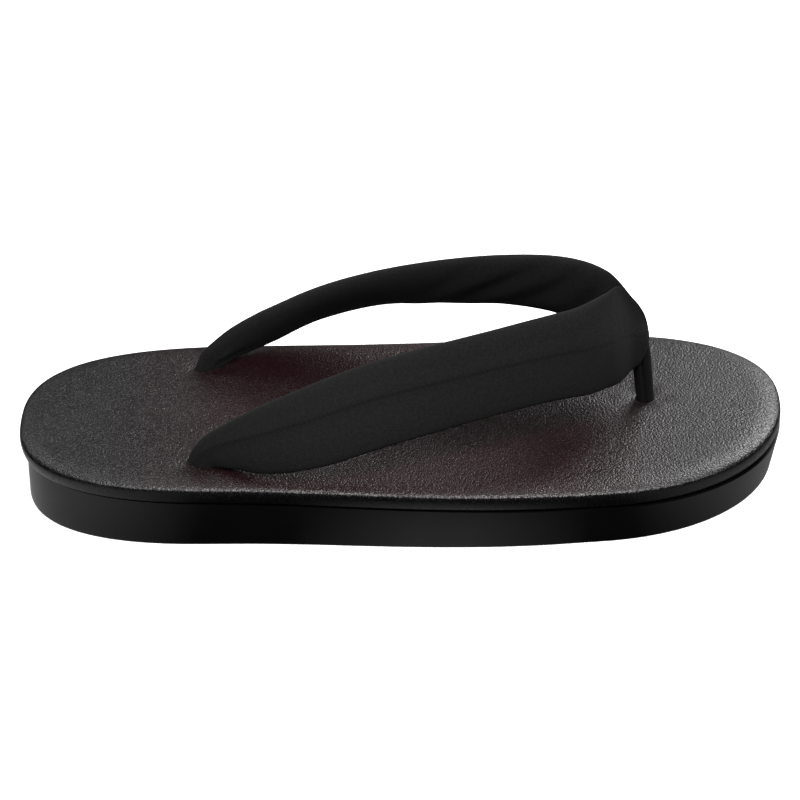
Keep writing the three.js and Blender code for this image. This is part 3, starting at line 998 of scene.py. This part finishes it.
def strap_rings(side, last_step=STRAP_STEPS, swell=0.0):
    """Rings of one strap, in metres, from its end in the hole. side is 1 inside and -1 outside, and swell
    makes it larger all round."""
    read = row_reader(STRAP_STATIONS)
    settings = bpy.context.scene.sandal_straps

    def centre_at(share):
        along, spread, rise = read(share)[:3]
        x = along * MM
        return Vector((x, strap_line(x) + side * spread * MM, footbed_top(x) + rise * MM))

    rings = []
    for step in range(last_step + 1):
        share = step / STRAP_STEPS
        centre = centre_at(share)
        travel = (centre_at(share + LOOK_AHEAD) - centre_at(share - LOOK_AHEAD)).normalized()
        if step == 0:
            centre -= travel * swell
        upright = ease((share - CLOSING_START) / CLOSING_LENGTH)
        inward = Vector((side * travel.y, -side * travel.x, 0)).normalized()
        inward = inward.lerp(Vector((0, -side, 0)), upright).normalized()
        upward = (inward.cross(travel) * side).normalized()
        upward = upward.lerp(Vector((0, 0, 1)), upright).normalized()
        width, thickness, tilt = read(share)[3:]
        lean = math.radians(tilt)
        across = inward * math.cos(lean) + upward * math.sin(lean)
        outward = upward * math.cos(lean) - inward * math.sin(lean)
        tip = math.sqrt(max(TIP_LEAST, 1 - max(0.0, (share - TIP_START) / (1 - TIP_START)) ** 2))
        ring = []
        for i in range(STRAP_SECTION_POINTS):
            turn = 2 * math.pi * i / STRAP_SECTION_POINTS
            height = rounded(math.cos(turn)) * tip
            facing = math.sin(turn)
            out = (thickness / 2 * MM + swell) * rounded(facing) * tip
            out += strap_relief(side, share, height, facing, settings.seam_depth)
            point = centre + across * height * (width / 2 * MM + swell) + outward * out
            ring.append(press_together(draw_together(point, share, height), side))
        rings.append(ring)
    return rings


def swelling(rows, share, height):
    """How far the slack or the bunched padding moves a face towards the inner side, in metres."""
    total = 0.0
    for place, spread, centre, height_spread, depth in rows:
        total += depth * MM * bell(height - centre, height_spread) * bell(share - place, spread)
    return total


def strap_relief(side, share, height, facing, seam_depth):
    """Seam, slack and listed folds, as a shift towards the outer side. height runs from -1 at the lower
    edge to 1 at the upper one, and facing is above 0 on the outer face and below it on the inner one."""
    if facing > 0:
        seam_share = lerp(SEAM_END_SHARE, 1, ease((share - SEAM_FULL_START) / SEAM_FULL_LENGTH))
        relief = -seam_depth * bell(height - SEAM_HEIGHT, SEAM_WIDTH) * seam_share
        roll_height = SEAM_HEIGHT + SEAM_ROLL["above"]
        relief += SEAM_ROLL["rise"] * MM * bell(height - roll_height, SEAM_ROLL["width"])
        relief -= swelling(SLACK, share, height)
        return relief * ease(share / SEAM_STRAP_START)
    relief = -swelling(BUNCHING, share, height)
    for place, slant, width, depth, deepest in (INNER_STRAP_FOLDS if side > 0 else OUTER_STRAP_FOLDS):
        away = share - place - slant * height
        relief -= depth * MM * bell(away, width) * bell(height - deepest, FOLD_HEIGHT_SPREAD)
    return relief


def draw_together(point, share, height):
    """Draws a strap's upper edge in and up, to meet the other strap's where the two are joined."""
    joined = ease((share - JOIN_START) / JOIN_LENGTH)
    joined *= ease((height - JOIN_LOW) / (JOIN_HIGH - JOIN_LOW))
    pull = (point.y - strap_line(point.x)) * joined * JOIN_SHARE
    return Vector((point.x, point.y - pull, point.z + JOIN_RISE * abs(pull)))


def press_together(point, side):
    """Keeps a strap on its own side of the strap line, as the two press against each other at the toe."""
    line = strap_line(point.x)
    away = side * (point.y - line) - PRESS_ROOM * MM
    away = (away + math.hypot(away, PRESS_SOFTNESS * MM)) / 2
    return Vector((point.x, line + side * (away + PRESS_ROOM * MM), point.z))


def map_cloth(piece, rings, middle):
    """Gives a lofted piece a cloth map in metres: U along it, V round it from the corner named middle."""
    count = len(rings[0])
    along = [0.0]
    for before, after in zip(rings, rings[1:]):
        step = sum((b - a).length for a, b in zip(before, after)) / count
        along.append(along[-1] + step)
    around = []
    for ring in rings:
        edges = [(ring[(i + 1) % count] - ring[i]).length for i in range(count)]
        places = [0.0]
        for edge in edges:
            places.append(places[-1] + edge)
        around.append([place - places[middle] for place in places])
    layer = piece.data.uv_layers.new(name="Cloth")
    for face in piece.data.polygons:
        corners = [piece.data.loops[i].vertex_index for i in face.loop_indices]
        places = [corner % count for corner in corners]
        wraps = max(places) == count - 1 and min(places) == 0 and len(corners) == 4
        for loop_index, corner, place in zip(face.loop_indices, corners, places):
            ring = corner // count
            if wraps and place == 0:
                place = count
            layer.data[loop_index].uv = (along[ring], around[ring][place])


class SANDAL_OT_straps(bpy.types.Operator):
    """Models the two padded cloth straps"""

    bl_idname = "sandal.straps"
    bl_label = "Straps"

    def execute(self, context):
        cloth = cloth_material("Strap cloth", True)
        for name, side in (("outer_strap", -1), ("inner_strap", 1)):
            rings = strap_rings(side)
            piece = loft(name, rings)
            map_cloth(piece, rings, STRAP_SECTION_POINTS // 4)
            add_modifier(piece, "SUBSURF", levels=1, render_levels=1)
            apply_modifiers(piece)
            pick(piece)
            bpy.ops.object.shade_smooth()
            finish_piece(piece, cloth, "straps")
        return {"FINISHED"}


class SANDAL_OT_toe_loop(bpy.types.Operator):
    """Models the folded cloth loop between the toes"""

    bl_idname = "sandal.toe_loop"
    bl_label = "Toe loop"

    def execute(self, context):
        read = row_reader(LOOP_STATIONS)
        rings = []
        for step in range(LOOP_STEPS + 1):
            share = step / LOOP_STEPS
            along, rise, length, breadth = read(share)
            centre = Vector((along, LOOP_SIDE + SIDE_SHIFT, rise)) * MM
            centre.z += footbed_top(centre.x)
            near_foot = bell(share - LOOP_CREASES["place"], LOOP_CREASES["spread"])
            ring = []
            for i in range(LOOP_SECTION_POINTS):
                turn = 2 * math.pi * i / LOOP_SECTION_POINTS
                front = math.cos(turn)
                waist = 1 - LOOP_WAIST["depth"] * bell(front + LOOP_WAIST["back"], LOOP_WAIST["width"])
                wave = math.sin(LOOP_CREASES["rate"] * share + LOOP_CREASES["slant"] * front)
                out = Vector((length * front, breadth * waist * math.sin(turn), 0)) / 2 * MM
                ring.append(centre + out * (1 + LOOP_CREASES["depth"] * wave * near_foot))
            rings.append(ring)
        piece = loft("toe_loop", rings)
        map_cloth(piece, rings, 0)
        add_modifier(piece, "SUBSURF", levels=1, render_levels=1)
        apply_modifiers(piece)
        pick(piece)
        bpy.ops.object.shade_smooth_by_angle(angle=math.radians(LOOP_SHARP_ANGLE))
        finish_piece(piece, cloth_material("Loop cloth", False), "toe_post")
        return {"FINISHED"}


# Stage


def aim(location, target):
    """Turn that points a light or camera at its target."""
    return (Vector(target) - Vector(location)).to_track_quat("-Z", "Y").to_euler()


def floor_material(stage):
    """A floor that is pale in view. What it sends to the sandal is dark, with three lit patches close to it,
    which the sole's side shows as soft bands."""
    material, tree, shader = start_material("Pale floor", Roughness=1.0, Specular_IOR_Level=0.0)
    seen = add_node(tree, "ShaderNodeLightPath").outputs["Is Camera Ray"]
    colour = blend_colours(tree, seen, FLOOR_UNSEEN, stage.floor_colour)
    tree.links.new(colour, shader.inputs["Base Color"])
    place = add_node(tree, "ShaderNodeTexCoord").outputs["Object"]
    parts = add_node(tree, "ShaderNodeSeparateXYZ", {"Vector": place})
    x = parts.outputs["X"]
    near = remap(tree, parts.outputs["Y"], *MIDDLE_PATCH_FRONT, 0.0, 1.0)
    distance = add_node(tree, "ShaderNodeVectorMath", {0: place}, operation="LENGTH").outputs["Value"]
    close = remap(tree, distance, *END_PATCH_REACH, 1.0, 0.0)
    heel = remap(tree, x, HEEL_PATCH["start"], HEEL_PATCH["full"], 0.0, HEEL_PATCH["light"])
    toe = remap(tree, x, TOE_PATCH["start"], TOE_PATCH["full"], 0.0, TOE_PATCH["light"])
    from_centre = calc(tree, "ABSOLUTE", calc(tree, "SUBTRACT", x, MIDDLE_PATCH["centre"]))
    middle = remap(
        tree, from_centre, MIDDLE_PATCH["start"], MIDDLE_PATCH["full"], 0.0, MIDDLE_PATCH["light"])
    ends = calc(tree, "MULTIPLY", calc(tree, "ADD", heel, toe), close)
    patches = calc(tree, "ADD", ends, calc(tree, "MULTIPLY", middle, near))
    lit = add_node(tree, "ShaderNodeCombineColor", {"Red": patches, "Green": patches, "Blue": patches})
    glow = blend_colours(tree, seen, lit.outputs[0], FLOOR_GLOW)
    tree.links.new(glow, shader.inputs["Emission Color"])
    shader.inputs["Emission Strength"].default_value = 1.0
    return material


class SANDAL_OT_stage(bpy.types.Operator):
    """Sets up the pale floor, the soft lights and the camera"""

    bl_idname = "sandal.stage"
    bl_label = "Stage"

    def execute(self, context):
        stage = context.scene.sandal_stage
        self.add_floor(stage)
        self.add_lights(stage)
        self.add_camera(context, stage)
        context.scene.view_settings.view_transform = "Standard"
        context.scene.view_settings.look = "None"
        return {"FINISHED"}

    def add_floor(self, stage):
        deselect_all()
        bpy.ops.mesh.primitive_plane_add(size=FLOOR_SIZE, location=(0, 0, 0))
        floor = bpy.context.object
        floor.name = "floor"
        floor.data.materials.append(floor_material(stage))

    def add_lights(self, stage):
        world = bpy.data.worlds.new("Even light")
        bpy.context.scene.world = world
        world.use_nodes = True
        sky = world.node_tree.nodes["Background"]
        sky.inputs["Color"].default_value = (1, 1, 1, 1)
        sky.inputs["Strength"].default_value = stage.sky_strength
        for name, location, target, size, power in SOFTBOXES:
            bpy.ops.object.light_add(type="AREA", location=location, rotation=aim(location, target))
            light = bpy.context.object
            light.name = name
            light.data.shape = "RECTANGLE"
            light.data.size, light.data.size_y = size
            light.data.energy = power
            light.visible_camera = False
        deselect_all()

    def add_camera(self, context, stage):
        turn = stage.camera_turn
        height = stage.camera_height
        target = Vector((0, SIDE_SHIFT, CAMERA_TARGET_HEIGHT)) * MM
        level = Vector((math.sin(turn), -math.cos(turn), 0))
        back = level * math.cos(height) + Vector((0, 0, math.sin(height)))
        right = Vector((math.cos(turn), math.sin(turn), 0))
        up = back.cross(right)
        cosine = math.cos(stage.camera_roll)
        sine = math.sin(stage.camera_roll)
        rolled_right = right * cosine - up * sine
        rolled_up = right * sine + up * cosine
        bpy.ops.object.camera_add()
        camera = bpy.context.object
        camera.name = "photo_camera"
        turned = Matrix((rolled_right, rolled_up, back)).transposed().to_4x4()
        camera.matrix_world = Matrix.Translation(target + back * stage.camera_distance) @ turned
        camera.data.lens = stage.camera_lens
        camera.data.sensor_width = CAMERA_SENSOR_WIDTH
        camera.data.clip_end = CAMERA_CLIP_END
        context.scene.camera = camera
        deselect_all()


class SANDAL_PT_panel(bpy.types.Panel):
    """Lists the sandal's pieces in the sidebar"""

    bl_idname = "SANDAL_PT_panel"
    bl_label = "Thong Sandal"
    bl_space_type = "VIEW_3D"
    bl_region_type = "UI"
    bl_category = "Sandal"

    def draw(self, context):
        for name in ("sandal_sole", "sandal_footbed", "sandal_straps", "sandal_stage"):
            settings = getattr(context.scene, name)
            for key in settings.__annotations__:
                self.layout.prop(settings, key)
        for operator in OPERATORS:
            self.layout.operator(operator.bl_idname)


SETTINGS = {
    "sandal_sole": SoleSettings,
    "sandal_footbed": FootbedSettings,
    "sandal_straps": StrapSettings,
    "sandal_stage": StageSettings,
}
OPERATORS = (
    SANDAL_OT_foam_sole,
    SANDAL_OT_padded_footbed,
    SANDAL_OT_straps,
    SANDAL_OT_toe_loop,
    SANDAL_OT_stage,
)


def register():
    for name, kind in SETTINGS.items():
        bpy.utils.register_class(kind)
        setattr(bpy.types.Scene, name, bpy.props.PointerProperty(type=kind))
    for kind in (*OPERATORS, SANDAL_PT_panel):
        bpy.utils.register_class(kind)


def unregister():
    for kind in (SANDAL_PT_panel, *reversed(OPERATORS)):
        bpy.utils.unregister_class(kind)
    for name, kind in SETTINGS.items():
        delattr(bpy.types.Scene, name)
        bpy.utils.unregister_class(kind)


def main():
    register()
    bpy.ops.sandal.foam_sole()
    bpy.ops.sandal.padded_footbed()
    bpy.ops.sandal.straps()
    bpy.ops.sandal.toe_loop()
    bpy.ops.sandal.stage()


if __name__ == "__main__":
    main()
